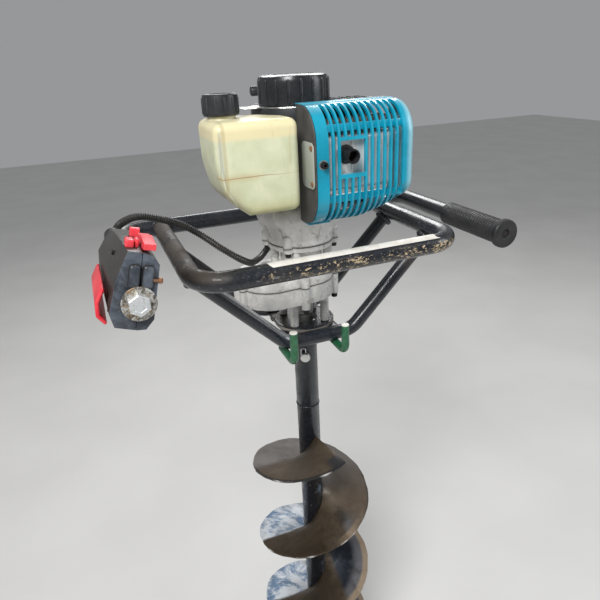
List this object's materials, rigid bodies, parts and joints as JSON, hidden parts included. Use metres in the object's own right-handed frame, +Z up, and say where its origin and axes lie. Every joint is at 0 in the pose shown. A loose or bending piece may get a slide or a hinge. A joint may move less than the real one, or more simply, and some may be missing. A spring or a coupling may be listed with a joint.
{
  "type": "power earth auger",
  "caption": "Hand-held petrol earth auger: tubular handle frame with throttle grip, two-stroke engine, reduction gearbox and a pinned helical drill bit.",
  "frame": {"origin": "on the drive axis, level with the two hand grips", "axes": "+Z up along the drive axis, +X to the operator's right, +Y away from the operator; the bit hangs down -Z"},
  "size_m": [0.548, 0.375, 1.182],
  "materials": {
    "black_paint": "gloss black paint, scuffed and dusty",
    "black_plastic": "moulded, satin",
    "grey_sheet": "dull grey",
    "rubber": "matte",
    "red_plastic": "moulded, satin",
    "teal_plastic": "moulded, satin",
    "tank_plastic": "translucent, blow moulded",
    "cast_alloy": "as cast, dirty",
    "steel": "plated, worn",
    "green_enamel": "gloss enamel",
    "bit_paint": "black paint, worn bright in places",
    "flight_steel": "brown with rust and soil",
    "label": "plain, faded"
  },
  "bodies": {
    "frame": {"rear_handlebar": "black_paint", "front_loop_tube": "black_paint", "lower_brace_front": "black_paint", "lower_brace_rear": "black_paint", "base_plate": "black_paint", "mount_disc": "black_paint", "hook_left": "green_enamel", "hook_right": "green_enamel", "right_grip": "rubber", "throttle_housing_left": "black_plastic", "throttle_housing_right": "black_plastic", "bar_end_washer": "steel", "bar_end_bolt": "steel", "throttle_conduit": "black_plastic", "crankcase": "cast_alloy", "cylinder": "cast_alloy", "spark_plug": "steel", "plug_boot": "rubber", "ignition_coil": "black_plastic", "fan_shroud": "black_plastic", "starter_housing": "black_plastic", "engine_cover": "teal_plastic", "heat_shield": "grey_sheet", "label_plate": "label", "cover_screw": "steel", "muffler": "steel", "carburettor": "cast_alloy", "air_filter_cover": "black_plastic", "fuel_tank": "tank_plastic", "fuel_hose": "tank_plastic", "clutch_housing": "cast_alloy", "output_bearing": "steel", "gearbox_upper": "cast_alloy", "gearbox_lower": "cast_alloy"},
    "bit": {"output_gear": "steel", "output_shaft": "steel", "auger_tube": "bit_paint", "auger_flight": "flight_steel", "blade_front": "flight_steel", "blade_rear": "flight_steel", "centre_point": "steel"},
    "countershaft": {"counter_gear": "steel", "counter_shaft": "steel"},
    "input": {"clutch_drum": "steel", "input_pinion": "steel"},
    "crank": {"crankshaft": "steel", "flywheel_fan": "cast_alloy", "clutch_hub": "steel"},
    "shoe_front": {"clutch_shoe_front": "steel"},
    "shoe_rear": {"clutch_shoe_rear": "steel"},
    "piston": {"piston": "steel"},
    "starter_grip": {"starter_handle": "black_plastic"},
    "starter_reel": {"starter_pulley": "black_plastic"},
    "trigger": {"throttle_trigger": "red_plastic"},
    "lock": {"throttle_lock": "red_plastic"},
    "switch": {"kill_switch": "red_plastic"},
    "choke": {"choke_lever": "black_plastic"},
    "primer": {"primer_bulb": "tank_plastic"},
    "cap": {"fuel_cap": "black_plastic"},
    "pin": {"coupling_pin": "steel"}
  },
  "joints": [
    {"name": "bit_spin", "type": "hinge", "parent": "frame", "child": "bit", "pos_m": [0, 0, -0.188], "axis": [0, 0, 1], "continuous": true},
    {"name": "counter_spin", "type": "hinge", "parent": "frame", "child": "countershaft", "pos_m": [-0.048, 0, -0.07], "axis": [0, 0, 1], "continuous": true},
    {"name": "input_spin", "type": "hinge", "parent": "frame", "child": "input", "pos_m": [0, 0, -0.02], "axis": [0, 0, 1], "continuous": true},
    {"name": "crank_spin", "type": "hinge", "parent": "frame", "child": "crank", "pos_m": [0, 0, 0.1], "axis": [0, 0, 1], "continuous": true},
    {"name": "shoe_front_slide", "type": "slide", "parent": "crank", "child": "shoe_front", "axis": [0, -1, 0], "range_m": [0, 0.0018], "stiffness_N_per_m": 2000},
    {"name": "shoe_rear_slide", "type": "slide", "parent": "crank", "child": "shoe_rear", "axis": [0, 1, 0], "range_m": [0, 0.0018], "stiffness_N_per_m": 2000},
    {"name": "piston_slide", "type": "slide", "parent": "frame", "child": "piston", "axis": [1, 0, 0], "range_m": [-0.015, 0.015]},
    {"name": "starter_pull", "type": "slide", "parent": "frame", "child": "starter_grip", "axis": [0, 1, 0], "range_m": [0, 0.5], "stiffness_N_per_m": 20, "springref_m": -0.1},
    {"name": "reel_spin", "type": "hinge", "parent": "frame", "child": "starter_reel", "pos_m": [0, 0, 0.191], "axis": [0, 0, 1], "range_deg": [-1310, 0]},
    {"name": "trigger_squeeze", "type": "hinge", "parent": "frame", "child": "trigger", "pos_m": [-0.28327, -0.07, 0.01102], "axis": [-0.8, 0, 0.6], "range_deg": [0, 4], "stiffness_Nm_per_rad": 0.6, "springref_deg": -9.74},
    {"name": "lock_press", "type": "hinge", "parent": "frame", "child": "lock", "pos_m": [-0.23068, -0.13, 0.06964], "axis": [0.9703, 0, -0.2419], "range_deg": [0, 5], "stiffness_Nm_per_rad": 0.4, "springref_deg": -9.74},
    {"name": "switch_rock", "type": "hinge", "parent": "frame", "child": "switch", "pos_m": [-0.23056, -0.118, 0.06918], "axis": [0.9703, 0, -0.2419], "range_deg": [-7, 7]},
    {"name": "choke_turn", "type": "hinge", "parent": "frame", "child": "choke", "pos_m": [0.028, 0.08, 0.142], "axis": [0, 1, 0], "range_deg": [0, 70]},
    {"name": "primer_press", "type": "slide", "parent": "frame", "child": "primer", "axis": [-1, 0, 0], "range_m": [0, 0.003], "stiffness_N_per_m": 400},
    {"name": "cap_turn", "type": "hinge", "parent": "frame", "child": "cap", "pos_m": [-0.109, -0.05, 0.18], "axis": [0, 0, 1], "range_deg": [0, 540]},
    {"name": "pin_draw", "type": "slide", "parent": "bit", "child": "pin", "axis": [-0.3907, -0.9205, 0], "range_m": [0, 0.06]}
  ],
  "couplings": [
    {"joint": "counter_spin", "follows": "bit_spin", "ratio": -4.3333},
    {"joint": "input_spin", "follows": "bit_spin", "ratio": 26.481},
    {"joint": "shoe_rear_slide", "follows": "shoe_front_slide", "ratio": 1},
    {"joint": "reel_spin", "follows": "starter_pull", "rad_per_m": -45.455}
  ]
}
